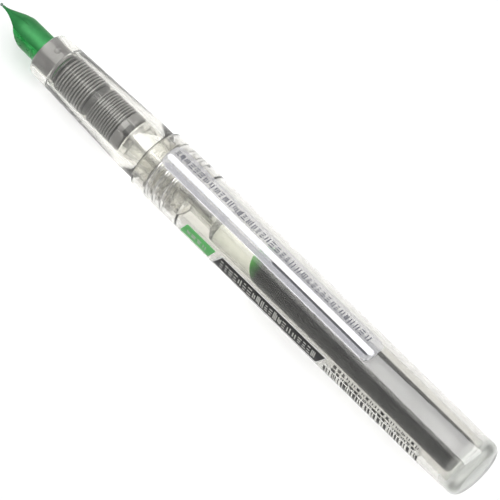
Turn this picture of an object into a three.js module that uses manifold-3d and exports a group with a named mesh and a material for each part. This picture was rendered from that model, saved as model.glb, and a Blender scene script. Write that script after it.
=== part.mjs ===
// A clear-bodied cartridge fountain pen with its cap off, lying on its side.
//
// Millimetres. X runs along the pen, from the nib at -X to the tail at +X. Z is up, and the pen lies
// on Z = 0. Each part is drawn about the pen's axis by its distance from the tip of the nib, and all
// of them are shifted together at the end, so that the origin is below the middle of the pen.
import * as THREE from "three";
import { mergeVertices } from "three/addons/utils/BufferGeometryUtils.js";
import Module from "manifold-3d";

const wasm = await Module();
wasm.setup();

// The whole pen
const LENGTH = 123;
const FACETS = 32;
const FACET_ANGLE = (2 * Math.PI) / FACETS;
const NIB_ROLL = FACET_ANGLE; // the nib's middle leans this far from +Z towards +Y

// Barrel: a long cup, open towards the nib
const BARREL_START = 41.2;
const BARREL_CHAMFER = 0.8;
const BARREL_RADIUS = 6.1;
const BARREL_TAIL_RADIUS = 5.9;
const BARREL_WALL = 1.25;
const BARREL_BOTTOM = 1.8;
const TAIL_ROUND = 1.8;
const AXIS_HEIGHT = BARREL_RADIUS * Math.cos(FACET_ANGLE / 2);

// Screw thread between the grip and the barrel
const THREAD_PITCH = 1.9;
const THREAD_START = 43.1;
const THREAD_TURNS = 4.25;
const NUT_THREAD_TURNS = 3;
const THREAD_ROOT_RADIUS = 4.45;
const THREAD_CREST_RADIUS = 5;
const NUT_BORE_RADIUS = 5.15;
const NUT_CREST_RADIUS = 4.65;
const RIDGE_FOOT = 0.85;
const RIDGE_CREST = 0.45;
const RIDGE_SINK = 0.12; // how far a ridge's foot is sunk in the wall it stands on
const NUT_OVERLAP = 0.5; // how far the narrow bore of the nut runs on past the grip

// Grip: a clear sleeve with a collar, and the threaded tail behind it
const GRIP_START = 12.6;
const GRIP_END = 51.9;
const GRIP_MOUTH_RADIUS = 3.4;
const GRIP_BORE_RADIUS = 4;
const GRIP_BORE_START = 17.4;
const GRIP_LIP_RADIUS = 4.5; // just behind the rounded front edge
const GRIP_REAR_RADIUS = 5.36; // just in front of the collar
const COLLAR_RADIUS = 5.5;
const COLLAR_START = 36.7;
const COLLAR_END = 41;

// Nib: a thin plate bent round the feed
const NIB_START = 0.65;
const NIB_END = 16.4;
const NIB_SHOULDER = 7; // where the nib reaches its full radius
const NIB_HALF_WIDTH = 2.12;
const NIB_TIP_HALF_WIDTH = 0.22;
const NIB_TIP_RADIUS = 1.18;
const NIB_RADIUS = 2.8;
const NIB_PLATE = 0.22;
const NIB_FACETS = 64;
const SLIT_WIDTH = 0.09;
const SLIT_END = 7.5;
const TIPPING_RADIUS = 0.3;

// Feed: the ribbed block under the nib that brings it ink
const FEED_START = 4.4;
const FEED_END = 16.8;
const FEED_GAP = 0.08;
const FEED_SIDE_RADIUS = 2.68;
const FEED_SIDE_TOP = 1.2;
const FEED_CHANNEL = 0.35;
const FEED_NOSE_START = 7; // where the slanted underside of the nose crosses the depth below
const FEED_NOSE_DEPTH = 1.2;
const FEED_NOSE_SLANT = Math.PI / 3.6;

// Sleeve that clamps the nib on the feed
const SLEEVE_START = 12.4;
const SLEEVE_END = 17.2;
const SLEEVE_RADIUS = 3.2;
const SLEEVE_BORE_RADIUS = 2.92;
const DIMPLE_RADIUS = 0.6;
const DIMPLE_DEPTH = 0.12;
const DIMPLE_DISTANCE = 15;

// Collector: two stacks of fins on a core, which hold back surplus ink
const COLLECTOR_START = 17.5;
const COLLECTOR_END = 35.6;
const COLLECTOR_RADIUS = 3.85;
const COLLECTOR_CORE_RADIUS = 2.7;
const COLLECTOR_BORE_RADIUS = 1.1;
const COLLECTOR_FACETS = 16;
const COLLECTOR_BAND_RADIUS = 3.35;
const FRONT_STACK = { start: 18.7, fins: 11, pitch: 0.64, thickness: 0.35 };
const REAR_STACK = { start: 27.2, fins: 11, pitch: 0.56, thickness: 0.31 };
const REAR_FLANGE_START = 33.5;
const KEY_ANGLE = Math.PI / 3.6; // the key on the collector's front edge, from +Z towards +Y

// Ink rod: carries ink from the cartridge to the feed
const ROD_START = 18.2;
const ROD_END = 56.8;
const ROD_RADIUS = 0.92;

// Connector: the clear insert that closes the grip and enters the cartridge
const CONNECTOR_START = 36;
const CONNECTOR_FLANGE_RADIUS = 3.82;
const CONNECTOR_FLANGE_END = 37.4;
const CONNECTOR_TUBE_RADIUS = 3.2;
const CONNECTOR_TUBE_END = 51.5;
const CONNECTOR_WALL = 0.7;
const CONNECTOR_BORE_RADIUS = 1.1;
const NIPPLE_RADIUS = 1.5;
const NIPPLE_END = 58.2;

// Cartridge: a translucent bottle with its neck over the nipple
const CARTRIDGE_START = 52.8;
const CARTRIDGE_SHOULDER = 57.8;
const CARTRIDGE_END = 119.8;
const CARTRIDGE_NECK_RADIUS = 2.3;
const CARTRIDGE_BORE_RADIUS = 1.65;
const CARTRIDGE_RADIUS = 3.55;
const CARTRIDGE_WALL = 0.5;
const CARTRIDGE_ROUND = 1.6;

// Ink in the cartridge, and the steel ball that sealed the cartridge before it was fitted
const INK_RADIUS = 2.93;
const INK_START = 67.8;
const INK_END = 118.3;
const INK_FRONT_SLOPE = 4.5; // how far the ink's front runs back from top to bottom
const BALL_RADIUS = 1.5;
const BALL_DISTANCE = 68.9;
const BALL_GAP = 0.06;

// Labels: thin films on the barrel, each as wide as a whole number of the barrel's facets
const LABEL_GAP = 0.05;
const LABEL_FILM = 0.1;
const NOTICE_LABEL = { start: 44, end: 96.6, firstFacet: -1.5, lastFacet: 3.5 };
const SIDE_LABEL = { start: 53.6, end: 114.1, firstFacet: -11.5, lastFacet: -4.5 };

const COLOURS = {
  clear: 0xe1dece,
  grey: 0x969696,
  green: 0x32a55a,
  darkGreen: 0x1e873c,
  steel: 0xb9bcc0,
  cartridge: 0xd8dcd6,
  ink: 0x1d2420,
  film: 0xf2f2f2,
  print: 0x26282a,
};

// A turned body. The profile's points are [distance, radius]. It climbs towards the tail on the
// outside and comes back on the inside, and it starts and ends on the axis or at the same point.
function turned(profile, facets = FACETS) {
  const points = profile.map(([distance, radius]) => new THREE.Vector2(radius, distance));
  return new THREE.LatheGeometry(points, facets, Math.PI / facets).rotateZ(-Math.PI / 2);
}

// A turned body with a hole right through it.
function turnedRing(profile, facets = FACETS) {
  return turned([...profile, profile[0]], facets);
}

// Profile points on a quarter circle, from the quarter turn `from` to the next one. At 0 the circle
// is at its largest radius from the axis, and at 1 at its greatest distance from the tip.
function quarterRound([distance, radius], size, from, steps = 4) {
  return Array.from({ length: steps + 1 }, (_, step) => {
    const angle = ((from + step / steps) * Math.PI) / 2;
    return [distance + size * Math.sin(angle), radius + size * Math.cos(angle)];
  });
}

// A box given by its lowest and highest corners.
function box(low, high) {
  const size = high.map((value, axis) => value - low[axis]);
  const middle = high.map((value, axis) => (value + low[axis]) / 2);
  return new THREE.BoxGeometry(...size).translate(...middle);
}

function toSolid(geometry) {
  const bare = geometry.index ? geometry.toNonIndexed() : geometry.clone();
  bare.deleteAttribute("normal");
  bare.deleteAttribute("uv");
  const merged = mergeVertices(bare, 1e-4);
  const triVerts = new Uint32Array(merged.index.array);
  const vertProperties = merged.attributes.position.array;
  return new wasm.Manifold(new wasm.Mesh({ numProp: 3, vertProperties, triVerts }));
}

function toGeometry(solid) {
  const { vertProperties, triVerts } = solid.getMesh();
  const geometry = new THREE.BufferGeometry();
  geometry.setAttribute("position", new THREE.BufferAttribute(vertProperties, 3));
  geometry.setIndex(new THREE.BufferAttribute(triVerts, 1));
  geometry.computeVertexNormals();
  return geometry;
}

// A right-handed screw ridge of trapezoid section, outside or inside a round wall.
function screwRidge({ start, turns, rootRadius, crestRadius, rootWidth, crestWidth }) {
  const section = [
    [-rootWidth / 2, rootRadius],
    [-crestWidth / 2, crestRadius],
    [crestWidth / 2, crestRadius],
    [rootWidth / 2, rootRadius],
  ];
  if (crestRadius < rootRadius) section.reverse();
  const corners = section.length;
  const steps = Math.round(turns * FACETS);
  const positions = [];
  for (let step = 0; step <= steps; step += 1) {
    const angle = (step + 0.5) * FACET_ANGLE;
    const middle = start + (THREAD_PITCH * step) / FACETS;
    for (const [offset, radius] of section)
      positions.push(middle + offset, radius * Math.cos(angle), radius * Math.sin(angle));
  }
  const faces = [0, 1, 2, 0, 2, 3];
  for (let step = 0; step < steps; step += 1)
    for (let corner = 0; corner < corners; corner += 1) {
      const a = step * corners + corner;
      const b = step * corners + ((corner + 1) % corners);
      faces.push(a, a + corners, b + corners, a, b + corners, b);
    }
  const last = steps * corners;
  faces.push(last, last + 2, last + 1, last, last + 3, last + 2);
  const geometry = new THREE.BufferGeometry();
  geometry.setAttribute("position", new THREE.Float32BufferAttribute(positions, 3));
  geometry.setIndex(faces);
  return geometry;
}

// The barrel's outer radius along its straight taper.
function barrelRadius(distance) {
  const start = BARREL_START + BARREL_CHAMFER;
  const share = (distance - start) / (LENGTH - TAIL_ROUND - start);
  return BARREL_RADIUS + (BARREL_TAIL_RADIUS - BARREL_RADIUS) * share;
}

function barrelBody() {
  const roundStart = LENGTH - TAIL_ROUND;
  const cavityEnd = LENGTH - BARREL_BOTTOM;
  const cavityRound = TAIL_ROUND - BARREL_WALL / 2;
  const cavityRadius = BARREL_TAIL_RADIUS - BARREL_WALL;
  const nutEnd = GRIP_END + NUT_OVERLAP;
  const profile = [
    [cavityEnd, 0],
    ...quarterRound([cavityEnd - cavityRound, cavityRadius - cavityRound], cavityRound, 0).reverse(),
    [nutEnd + 0.4, BARREL_RADIUS - BARREL_WALL],
    [nutEnd, NUT_BORE_RADIUS],
    [BARREL_START + 0.3, NUT_BORE_RADIUS],
    [BARREL_START, NUT_BORE_RADIUS + 0.2],
    [BARREL_START, BARREL_RADIUS - BARREL_CHAMFER / 2],
    [BARREL_START + BARREL_CHAMFER, BARREL_RADIUS],
    ...quarterRound([roundStart, BARREL_TAIL_RADIUS - TAIL_ROUND], TAIL_ROUND, 0),
    [LENGTH, 0],
  ];
  const ridge = screwRidge({
    start: THREAD_START + THREAD_PITCH / 2,
    turns: NUT_THREAD_TURNS,
    rootRadius: NUT_BORE_RADIUS + RIDGE_SINK,
    crestRadius: NUT_CREST_RADIUS,
    rootWidth: RIDGE_FOOT,
    crestWidth: RIDGE_CREST,
  });
  return toGeometry(toSolid(turned(profile)).add(toSolid(ridge)));
}

function gripBody() {
  const profile = [
    [GRIP_START, GRIP_LIP_RADIUS - 0.55],
    [GRIP_START + 0.2, GRIP_LIP_RADIUS - 0.2],
    [GRIP_START + 0.7, GRIP_LIP_RADIUS],
    [COLLAR_START - 1.6, GRIP_REAR_RADIUS],
    [COLLAR_START, COLLAR_RADIUS],
    [COLLAR_END - 0.2, COLLAR_RADIUS],
    [COLLAR_END, COLLAR_RADIUS - 0.2],
    [COLLAR_END, THREAD_ROOT_RADIUS],
    [GRIP_END - 0.3, THREAD_ROOT_RADIUS],
    [GRIP_END, THREAD_ROOT_RADIUS - 0.2],
    [GRIP_END, GRIP_BORE_RADIUS],
    [GRIP_BORE_START, GRIP_BORE_RADIUS],
    [GRIP_BORE_START - 0.6, GRIP_MOUTH_RADIUS],
    [GRIP_START, GRIP_MOUTH_RADIUS],
  ];
  const ridge = screwRidge({
    start: THREAD_START,
    turns: THREAD_TURNS,
    rootRadius: THREAD_ROOT_RADIUS - RIDGE_SINK,
    crestRadius: THREAD_CREST_RADIUS,
    rootWidth: RIDGE_FOOT,
    crestWidth: RIDGE_CREST,
  });
  return toGeometry(toSolid(turnedRing(profile)).add(toSolid(ridge)));
}

// The nib's outer radius, which grows from the tip to the shoulders in an S-shaped curve.
function nibRadius(distance) {
  const share = Math.min((distance - NIB_START) / (NIB_SHOULDER - NIB_START), 1);
  return NIB_TIP_RADIUS + (NIB_RADIUS - NIB_TIP_RADIUS) * share * share * (3 - 2 * share);
}

// Distances where the nib and the feed below it have a corner in their profile.
const NIB_STATIONS = [NIB_START, 1.6, 2.6, 3.6, 4.6, 5.8, NIB_SHOULDER, NIB_END];

// The nib seen from above: hollow flanks from the point to round shoulders, then straight sides.
function nibOutline() {
  const flank = new THREE.SplineCurve([
    new THREE.Vector2(NIB_START, NIB_TIP_HALF_WIDTH),
    new THREE.Vector2(2.4, 0.55),
    new THREE.Vector2(3.9, 1.2),
    new THREE.Vector2(5.4, 1.92),
    new THREE.Vector2(6.6, NIB_HALF_WIDTH),
  ]);
  const edge = [...flank.getPoints(12), new THREE.Vector2(NIB_END, NIB_HALF_WIDTH)];
  const otherEdge = edge.map(({ x, y }) => new THREE.Vector2(x, -y));
  return new THREE.Shape([...otherEdge, ...edge.reverse()]);
}

function nibBody() {
  const outer = NIB_STATIONS.map((distance) => [distance, nibRadius(distance)]);
  const inner = outer.map(([distance, radius]) => [distance, radius - NIB_PLATE]).reverse();
  const shell = toSolid(turnedRing([...outer, ...inner], NIB_FACETS));
  const settings = { depth: NIB_RADIUS * 2, bevelEnabled: false };
  const plan = toSolid(new THREE.ExtrudeGeometry(nibOutline(), settings));
  const slit = toSolid(box([-1, -SLIT_WIDTH / 2, 0], [SLIT_END, SLIT_WIDTH / 2, NIB_RADIUS * 2]));
  return toGeometry(shell.intersect(plan).subtract(slit));
}

// Half of the hard bead on the point, on the side of the slit that `side` names.
function tippingBody(side) {
  const height = NIB_TIP_RADIUS - NIB_PLATE / 2;
  const bead = new THREE.SphereGeometry(TIPPING_RADIUS, 12, 8);
  bead.translate(TIPPING_RADIUS, 0, height);
  const edges = [(side * SLIT_WIDTH) / 2, side];
  const half = box([-1, Math.min(...edges), 0], [1, Math.max(...edges), 2 * NIB_RADIUS]);
  return toGeometry(toSolid(bead).intersect(toSolid(half)));
}

function feedBody() {
  const reach = 2 * NIB_RADIUS;
  const stations = [FEED_START, ...NIB_STATIONS.filter((distance) => distance > FEED_START)];
  const upper = stations
    .map((distance) => Math.min(distance, FEED_END))
    .map((distance) => [distance, nibRadius(distance) - NIB_PLATE - FEED_GAP]);
  const core = toSolid(turned([[FEED_START, 0], ...upper, [NIB_END, 0]], NIB_FACETS));
  const sideProfile = [
    [FEED_START + 1, 0],
    [FEED_START + 1, FEED_SIDE_RADIUS - 0.7],
    [FEED_START + 3, FEED_SIDE_RADIUS],
    [FEED_END, FEED_SIDE_RADIUS],
    [FEED_END, 0],
  ];
  const below = toSolid(box([0, -reach, -reach], [LENGTH, reach, FEED_SIDE_TOP]));
  const side = toSolid(turned(sideProfile, NIB_FACETS)).intersect(below);
  const undercut = box([-FEED_END, -reach, -reach], [FEED_END, reach, 0]);
  undercut.rotateY(FEED_NOSE_SLANT).translate(FEED_NOSE_START, 0, -FEED_NOSE_DEPTH);
  const channelLow = [0, -FEED_CHANNEL / 2, FEED_SIDE_TOP];
  const channel = toSolid(box(channelLow, [SLEEVE_START, FEED_CHANNEL / 2, reach]));
  return toGeometry(core.add(side).subtract(toSolid(undercut)).subtract(channel));
}

function sleeveBody() {
  const profile = [
    [SLEEVE_START, SLEEVE_RADIUS - 0.12],
    [SLEEVE_START + 0.12, SLEEVE_RADIUS],
    [SLEEVE_END, SLEEVE_RADIUS],
    [SLEEVE_END, SLEEVE_BORE_RADIUS],
    [SLEEVE_START, SLEEVE_BORE_RADIUS],
  ];
  const dimple = new THREE.CylinderGeometry(DIMPLE_RADIUS, DIMPLE_RADIUS, 1, 16);
  dimple.rotateX(Math.PI / 2);
  dimple.translate(DIMPLE_DISTANCE, 0, SLEEVE_RADIUS - DIMPLE_DEPTH + 0.5);
  return toGeometry(toSolid(turnedRing(profile)).subtract(toSolid(dimple)));
}

// The profile of a stack of fins: each one out to the collector's radius and back to the core.
function finProfile({ start, fins, pitch, thickness }) {
  return Array.from({ length: fins }, (_, fin) => {
    const front = start + fin * pitch;
    return [
      [front, COLLECTOR_CORE_RADIUS],
      [front, COLLECTOR_RADIUS],
      [front + thickness, COLLECTOR_RADIUS],
      [front + thickness, COLLECTOR_CORE_RADIUS],
    ];
  }).flat();
}

function collectorBody() {
  const frontEnd = FRONT_STACK.start + FRONT_STACK.fins * FRONT_STACK.pitch;
  const profile = [
    [COLLECTOR_START, COLLECTOR_BAND_RADIUS],
    [COLLECTOR_START + 0.4, COLLECTOR_BAND_RADIUS],
    [COLLECTOR_START + 0.4, COLLECTOR_CORE_RADIUS],
    ...finProfile(FRONT_STACK),
    [frontEnd, COLLECTOR_CORE_RADIUS],
    [frontEnd, COLLECTOR_BAND_RADIUS],
    [REAR_STACK.start - 0.3, COLLECTOR_BAND_RADIUS],
    [REAR_STACK.start - 0.3, COLLECTOR_CORE_RADIUS],
    ...finProfile(REAR_STACK),
    [REAR_FLANGE_START, COLLECTOR_CORE_RADIUS],
    [REAR_FLANGE_START, COLLECTOR_RADIUS],
    [COLLECTOR_END - 0.5, COLLECTOR_RADIUS],
    [COLLECTOR_END, COLLECTOR_RADIUS - 0.5],
    [COLLECTOR_END, COLLECTOR_BORE_RADIUS],
    [COLLECTOR_START, COLLECTOR_BORE_RADIUS],
  ];
  const key = box([COLLECTOR_START, -0.5, 0], [COLLECTOR_START + 0.8, 0.5, COLLECTOR_RADIUS]);
  key.rotateX(-KEY_ANGLE);
  const hole = turned([[0, 0], [0, COLLECTOR_CORE_RADIUS], [LENGTH, COLLECTOR_CORE_RADIUS], [LENGTH, 0]]);
  const keySolid = toSolid(key).subtract(toSolid(hole));
  return toGeometry(toSolid(turnedRing(profile, COLLECTOR_FACETS)).add(keySolid));
}

function rodBody() {
  const profile = [
    [ROD_START, 0],
    [ROD_START, ROD_RADIUS - 0.2],
    [ROD_START + 0.4, ROD_RADIUS],
    [ROD_END - 0.4, ROD_RADIUS],
    [ROD_END, ROD_RADIUS - 0.2],
    [ROD_END, 0],
  ];
  return turned(profile, 16);
}

function connectorBody() {
  const tubeBore = CONNECTOR_TUBE_RADIUS - CONNECTOR_WALL;
  const pocketEnd = CONNECTOR_TUBE_END - 2;
  const profile = [
    [CONNECTOR_START, CONNECTOR_FLANGE_RADIUS],
    [CONNECTOR_FLANGE_END, CONNECTOR_FLANGE_RADIUS],
    [CONNECTOR_FLANGE_END, CONNECTOR_TUBE_RADIUS],
    [CONNECTOR_TUBE_END - 0.8, CONNECTOR_TUBE_RADIUS],
    [CONNECTOR_TUBE_END, CONNECTOR_TUBE_RADIUS - 0.8],
    [CONNECTOR_TUBE_END, NIPPLE_RADIUS],
    [NIPPLE_END - 0.6, NIPPLE_RADIUS],
    [NIPPLE_END, CONNECTOR_BORE_RADIUS + 0.15],
    [NIPPLE_END, CONNECTOR_BORE_RADIUS],
    [CONNECTOR_START, CONNECTOR_BORE_RADIUS],
    [CONNECTOR_START, NIPPLE_RADIUS],
    [pocketEnd, NIPPLE_RADIUS],
    [pocketEnd, tubeBore],
    [CONNECTOR_START, tubeBore],
  ];
  return turnedRing(profile, 24);
}

function cartridgeBody() {
  const innerRadius = CARTRIDGE_RADIUS - CARTRIDGE_WALL;
  const innerRound = CARTRIDGE_ROUND - CARTRIDGE_WALL;
  const innerEnd = CARTRIDGE_END - 2 * CARTRIDGE_WALL;
  const profile = [
    [innerEnd, 0],
    ...quarterRound([innerEnd - innerRound, innerRadius - innerRound], innerRound, 0, 3).reverse(),
    [CARTRIDGE_SHOULDER + 2, innerRadius],
    [CARTRIDGE_SHOULDER + 0.7, CARTRIDGE_BORE_RADIUS],
    [CARTRIDGE_START, CARTRIDGE_BORE_RADIUS],
    [CARTRIDGE_START, CARTRIDGE_NECK_RADIUS],
    [CARTRIDGE_SHOULDER, CARTRIDGE_NECK_RADIUS],
    [CARTRIDGE_SHOULDER + 1.4, CARTRIDGE_RADIUS],
    ...quarterRound([CARTRIDGE_END - CARTRIDGE_ROUND, CARTRIDGE_RADIUS - CARTRIDGE_ROUND], CARTRIDGE_ROUND, 0, 3),
    [CARTRIDGE_END, 0],
  ];
  return turned(profile, 24);
}

function inkBody() {
  const profile = [
    [INK_START, 0],
    [INK_START, INK_RADIUS],
    [INK_END - 1, INK_RADIUS],
    [INK_END, INK_RADIUS - 1],
    [INK_END, 0],
  ];
  const slope = Math.atan2(INK_FRONT_SLOPE, 2 * INK_RADIUS);
  const front = box([-20, -10, -10], [0, 10, 10]).rotateY(-slope);
  front.translate(INK_START + INK_FRONT_SLOPE / 2, 0, 0);
  return toGeometry(toSolid(turned(profile, 24)).subtract(toSolid(front)));
}

function ballBody() {
  const height = -(CARTRIDGE_RADIUS - CARTRIDGE_WALL) * Math.cos(Math.PI / 24) + BALL_RADIUS + BALL_GAP;
  return new THREE.SphereGeometry(BALL_RADIUS, 16, 10).translate(BALL_DISTANCE, 0, height);
}

// A film on the barrel between two of the barrel's facet corners, counted from +Z towards +Y.
function labelBody({ start, end, firstFacet, lastFacet }) {
  const across = lastFacet - firstFacet;
  const positions = [];
  for (let facet = 0; facet <= across; facet += 1) {
    const angle = (firstFacet + facet) * FACET_ANGLE;
    for (const [distance, lift] of [[start, 0], [end, 0], [end, LABEL_FILM], [start, LABEL_FILM]]) {
      const radius = barrelRadius(distance) + LABEL_GAP + lift;
      positions.push(distance, radius * Math.sin(angle), radius * Math.cos(angle));
    }
  }
  const faces = [0, 1, 2, 0, 2, 3];
  for (let facet = 0; facet < across; facet += 1)
    for (let corner = 0; corner < 4; corner += 1) {
      const a = facet * 4 + corner;
      const b = facet * 4 + ((corner + 1) % 4);
      faces.push(a, b + 4, b, a, a + 4, b + 4);
    }
  const last = across * 4;
  faces.push(last, last + 2, last + 1, last, last + 3, last + 2);
  const geometry = new THREE.BufferGeometry();
  geometry.setAttribute("position", new THREE.Float32BufferAttribute(positions, 3));
  geometry.setIndex(faces);
  return geometry;
}

function named(name, geometry, color, roughness, metalness = 0) {
  const mesh = new THREE.Mesh(geometry, new THREE.MeshStandardMaterial({ color, roughness, metalness }));
  mesh.name = name;
  return mesh;
}

// The parts that are set to the nib's lean.
function nibUnit() {
  const unit = new THREE.Group();
  unit.rotation.x = -NIB_ROLL;
  unit.add(
    named("nib", nibBody(), COLOURS.green, 0.3, 0.8),
    named("tipping_left", tippingBody(-1), COLOURS.steel, 0.2, 1),
    named("tipping_right", tippingBody(1), COLOURS.steel, 0.2, 1),
    named("feed", feedBody(), COLOURS.darkGreen, 0.35),
    named("nib_sleeve", sleeveBody(), COLOURS.grey, 0.4),
  );
  return unit;
}

const pen = new THREE.Group();
pen.position.set(-LENGTH / 2, 0, AXIS_HEIGHT);
pen.add(
  nibUnit(),
  named("collector", collectorBody(), COLOURS.grey, 0.45),
  named("ink_rod", rodBody(), COLOURS.ink, 0.6),
  named("grip", gripBody(), COLOURS.clear, 0.12),
  named("connector", connectorBody(), COLOURS.clear, 0.15),
  named("barrel", barrelBody(), COLOURS.clear, 0.12),
  named("cartridge", cartridgeBody(), COLOURS.cartridge, 0.35),
  named("ink_charge", inkBody(), COLOURS.ink, 0.2),
  named("cartridge_ball", ballBody(), COLOURS.steel, 0.15, 1),
  named("notice_label", labelBody(NOTICE_LABEL), COLOURS.film, 0.5),
  named("side_label", labelBody(SIDE_LABEL), COLOURS.print, 0.5),
);

export default pen;
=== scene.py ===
"""A clear-bodied cartridge fountain pen, lying on a white surface under soft light.

Lengths in this script are in millimetres, measured along the pen from the nib's tip and out from its
axis, and turns are in degrees round the axis, from +Z towards +Y. point() turns them into metres in
the model's frame.
"""
import math
import random

import bmesh
import bpy
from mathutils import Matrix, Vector


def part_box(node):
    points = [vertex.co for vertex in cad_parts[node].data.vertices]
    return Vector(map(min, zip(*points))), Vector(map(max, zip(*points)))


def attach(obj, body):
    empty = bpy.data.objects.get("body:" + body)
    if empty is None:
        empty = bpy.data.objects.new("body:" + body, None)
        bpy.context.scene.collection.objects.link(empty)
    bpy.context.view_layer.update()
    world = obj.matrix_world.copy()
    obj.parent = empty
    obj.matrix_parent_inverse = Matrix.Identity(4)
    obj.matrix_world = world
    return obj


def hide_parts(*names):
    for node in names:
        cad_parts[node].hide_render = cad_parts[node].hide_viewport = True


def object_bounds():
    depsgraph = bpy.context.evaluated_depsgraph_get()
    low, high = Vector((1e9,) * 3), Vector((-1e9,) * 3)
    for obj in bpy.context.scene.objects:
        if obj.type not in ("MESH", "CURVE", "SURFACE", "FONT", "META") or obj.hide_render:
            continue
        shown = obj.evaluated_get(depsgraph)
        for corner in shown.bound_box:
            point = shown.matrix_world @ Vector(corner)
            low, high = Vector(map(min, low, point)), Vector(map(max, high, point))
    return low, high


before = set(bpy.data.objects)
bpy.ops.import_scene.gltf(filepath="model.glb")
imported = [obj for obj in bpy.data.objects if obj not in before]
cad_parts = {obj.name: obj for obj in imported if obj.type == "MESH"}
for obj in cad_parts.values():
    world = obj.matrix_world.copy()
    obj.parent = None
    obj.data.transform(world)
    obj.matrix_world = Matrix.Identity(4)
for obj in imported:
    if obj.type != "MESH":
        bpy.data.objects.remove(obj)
CAD_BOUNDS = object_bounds()

MM = 0.001
TIP_X = CAD_BOUNDS[0].x
AXIS_Z = sum(corner.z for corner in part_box("barrel")) / 2
COLUMNS = 96  # faces round a turned piece


def start_of(node):
    """Where a CAD node starts, from the nib's tip."""
    return (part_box(node)[0].x - TIP_X) / MM


def end_of(node):
    """Where a CAD node ends, from the nib's tip."""
    return (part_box(node)[1].x - TIP_X) / MM


def radius_of(node):
    """A CAD node's largest radius."""
    low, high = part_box(node)
    return (high.y - low.y) / 2 / MM


# Barrel
BARREL_START = start_of("barrel")
BARREL_END = end_of("barrel")
BARREL_RADIUS = radius_of("barrel")
TAIL_RADIUS = BARREL_RADIUS - 0.2
BARREL_WALL = 1.25
BARREL_BOTTOM = 1.8
BARREL_CHAMFER = 0.8
TAIL_ROUND = 1.8
TAIL_CLEARNESS = 0.72
TAIL_TINT = (204, 206, 202)
HAZE_START = 118.5
HAZE_END = 122.0
MOUTH_ROUND = 0.3
NUT_OVERLAP = 0.5

# Screw thread
THREAD_PITCH = 1.9
THREAD_ROWS = 20  # rows of faces for each turn of the thread
THREAD_START = 43.1
THREAD_END = 51.2
THREAD_RIDGE_AT_TOP = THREAD_START + THREAD_PITCH * (1 / 4 - 1 / 64)
THREAD_ROOT = 4.45
THREAD_HEIGHT = 0.55
NUT_BORE = 5.15
NUT_THREAD_HEIGHT = -0.5

# Grip
GRIP_START = start_of("grip")
GRIP_END = end_of("grip")
GRIP_BORE = 4.0
GRIP_BORE_START = 17.4
GRIP_MOUTH = 3.4
GRIP_MOUTH_DEPTH = 0.6
COLLAR_START = 36.7
COLLAR_END = 41
COLLAR_RADIUS = radius_of("grip")

# Nib, feed and sleeve
NIB_LEAN = 11.25
NIB_START = 0.65
NIB_END = end_of("nib")
NIB_TIP_RADIUS = 1.18
NIB_RADIUS = 2.8
NIB_SHOULDER = 7
NIB_PLATE = 0.22
SLIT_WIDTH = 0.04
SLIT_END = 7.5
FEED_START = start_of("feed")
FEED_END = end_of("feed")
FEED_GAP = 0.08
FEED_RADIUS = 2.85
FEED_LEDGE = 0.35  # how far the feed's sides stand out from under the nib's edge
FEED_LEDGE_TURN = 57
NOSE_STEP = 0.16
NOSE_STEPS = 32
SLEEVE_START = start_of("nib_sleeve")
SLEEVE_END = end_of("nib_sleeve")
SLEEVE_RADIUS = radius_of("nib_sleeve")
SLEEVE_BORE = 2.92
DIMPLE_DISTANCE = 15
DIMPLE_RADIUS = 0.62

# Collector
COLLECTOR_START = start_of("collector")
COLLECTOR_END = end_of("collector")
COLLECTOR_RADIUS = 3.85
COLLECTOR_CORE = 2.7
COLLECTOR_BAND = 3.35
COLLECTOR_BORE = 1.1
# The collector's grey darkens from the outer of these radii to the inner, down in the grooves.
DARK_CORE = 2.9
DARK_RIM = 3.8
FRONT_FINS = {"start": 18.7, "fins": 11, "pitch": 0.64, "thickness": 0.35}
REAR_FINS = {"start": 27.2, "fins": 11, "pitch": 0.56, "thickness": 0.31}
REAR_FLANGE_START = 33.5
FLANGE_LIP = 1.1
SLOT_TURN = 355
SLOT_HALF_TURN = 6
NOTCH_TURN = 348
NOTCH_HALF_TURN = 17
NOTCH_LENGTH = 1.3
NOTCH_DEPTH = 0.35
KEY_TURN = 50
KEY_SIZE = 0.66

# Connector and rod
CONNECTOR_START = start_of("connector")
NIPPLE_END = end_of("connector")
NIPPLE_RADIUS = 1.5
CONNECTOR_TUBE = 3.2
CONNECTOR_TUBE_END = 51.5
CONNECTOR_WALL = 0.7
ROD_RADIUS = radius_of("ink_rod")

# Cartridge, ink and ball
CARTRIDGE_START = start_of("cartridge")
CARTRIDGE_END = end_of("cartridge")
CARTRIDGE_SHOULDER = 57.8
CARTRIDGE_NECK = 2.3
CARTRIDGE_BORE = 1.65
CARTRIDGE_RADIUS = 3.55
CARTRIDGE_WALL = 0.5
CARTRIDGE_ROUND = 1.6
INK_START = start_of("ink_charge")
INK_END = CARTRIDGE_END - 0.25
INK_RADIUS = 3.09  # a little over the cartridge bore, because the ink wets it
INK_FRONT_SLOPE = 4.5
INK_THIN_LENGTH = 9.0
BALL_RADIUS = radius_of("cartridge_ball")

# Labels
NOTICE = {"start": 44.0, "end": 96.6, "low": -15.0, "high": 36.0}
SIDE = {"start": 53.6, "end": 114.1, "low": -126.0, "high": -53.0}
# The dark line between these turns, from where the ink starts, is painted shade over the ink, not print.
SHADE_LINE_START = 71.5
SHADE_LINE_LOW = -5.0
SHADE_LINE_HIGH = -1.0
# The white band up to this turn is a painted highlight, not print.
HIGHLIGHT_BAND_HIGH = 10.5
TAB_END = 62.4
STRIPE_END = 89.0
STRIPE_SLANT = 1.6
BARS_START = 90.6
SMALL_PRINT_START = 92.2
# Width of the thin white line of painted highlight along the film's lower edge.
EDGE_HIGHLIGHT_TURN = 1.3
FILM_LIFT = 0.04
FILM = 0.05
PRINT = 0.02


# --- Mesh making ---------------------------------------------------------------------------------


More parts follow.
